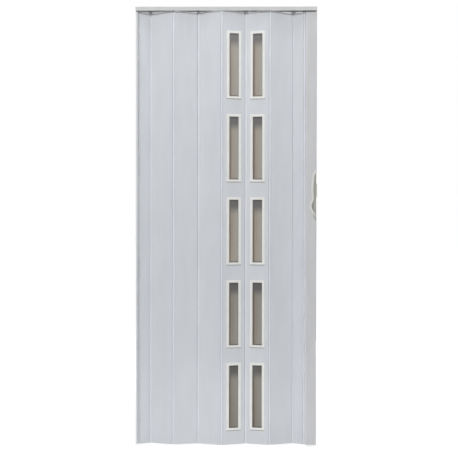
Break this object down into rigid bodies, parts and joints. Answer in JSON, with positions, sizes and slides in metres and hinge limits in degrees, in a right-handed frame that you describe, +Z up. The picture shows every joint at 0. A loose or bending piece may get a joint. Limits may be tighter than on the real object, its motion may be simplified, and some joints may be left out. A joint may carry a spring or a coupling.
{
  "type": "folding door",
  "caption": "PVC folding door of hollow boards with two columns of smoked windows, half drawn out on its head rail.",
  "frame": {"origin": "centre of the head rail's top face, which is screwed to the lintel", "axes": "+X along the rail from the wall strip to the lead post, -Y to the front, +Z up, out of the rail's top face"},
  "size_m": [0.842, 0.06, 2.03],
  "materials": {
    "board_pvc": "satin",
    "profile_pvc": "satin",
    "rail_pvc": "satin",
    "hinge_pvc": "satin",
    "frame_plastic": "gloss",
    "smoked_acrylic": "gloss",
    "rim_plastic": "satin",
    "grip_plastic": "satin",
    "glider_nylon": "satin"
  },
  "bodies": {
    "root": {"head_rail": "rail_pvc", "wall_strip": "profile_pvc", "half_panel_wall": "board_pvc", "panel_1": "board_pvc", "panel_2": "board_pvc", "panel_3": "board_pvc", "panel_4": "board_pvc", "panel_5": "board_pvc", "panel_6": "board_pvc", "half_panel_lead": "board_pvc", "hinge_strip_0": "hinge_pvc", "hinge_strip_1": "hinge_pvc", "hinge_strip_2": "hinge_pvc", "hinge_strip_3": "hinge_pvc", "hinge_strip_4": "hinge_pvc", "hinge_strip_5": "hinge_pvc", "hinge_strip_6": "hinge_pvc", "hinge_strip_7": "hinge_pvc", "hinge_strip_8": "hinge_pvc", "lead_post": "profile_pvc", "lead_post_grip": "profile_pvc", "grip_liner": "grip_plastic", "grip_rim_front": "rim_plastic", "grip_rim_back": "rim_plastic", "latch": "grip_plastic", "gliders": "glider_nylon", "window_frame_4_1": "frame_plastic", "pane_4_1": "smoked_acrylic", "window_frame_4_2": "frame_plastic", "pane_4_2": "smoked_acrylic", "window_frame_4_3": "frame_plastic", "pane_4_3": "smoked_acrylic", "window_frame_4_4": "frame_plastic", "pane_4_4": "smoked_acrylic", "window_frame_4_5": "frame_plastic", "pane_4_5": "smoked_acrylic", "window_frame_5_1": "frame_plastic", "pane_5_1": "smoked_acrylic", "window_frame_5_2": "frame_plastic", "pane_5_2": "smoked_acrylic", "window_frame_5_3": "frame_plastic", "pane_5_3": "smoked_acrylic", "window_frame_5_4": "frame_plastic", "pane_5_4": "smoked_acrylic", "window_frame_5_5": "frame_plastic", "pane_5_5": "smoked_acrylic"}
  },
  "joints": []
}
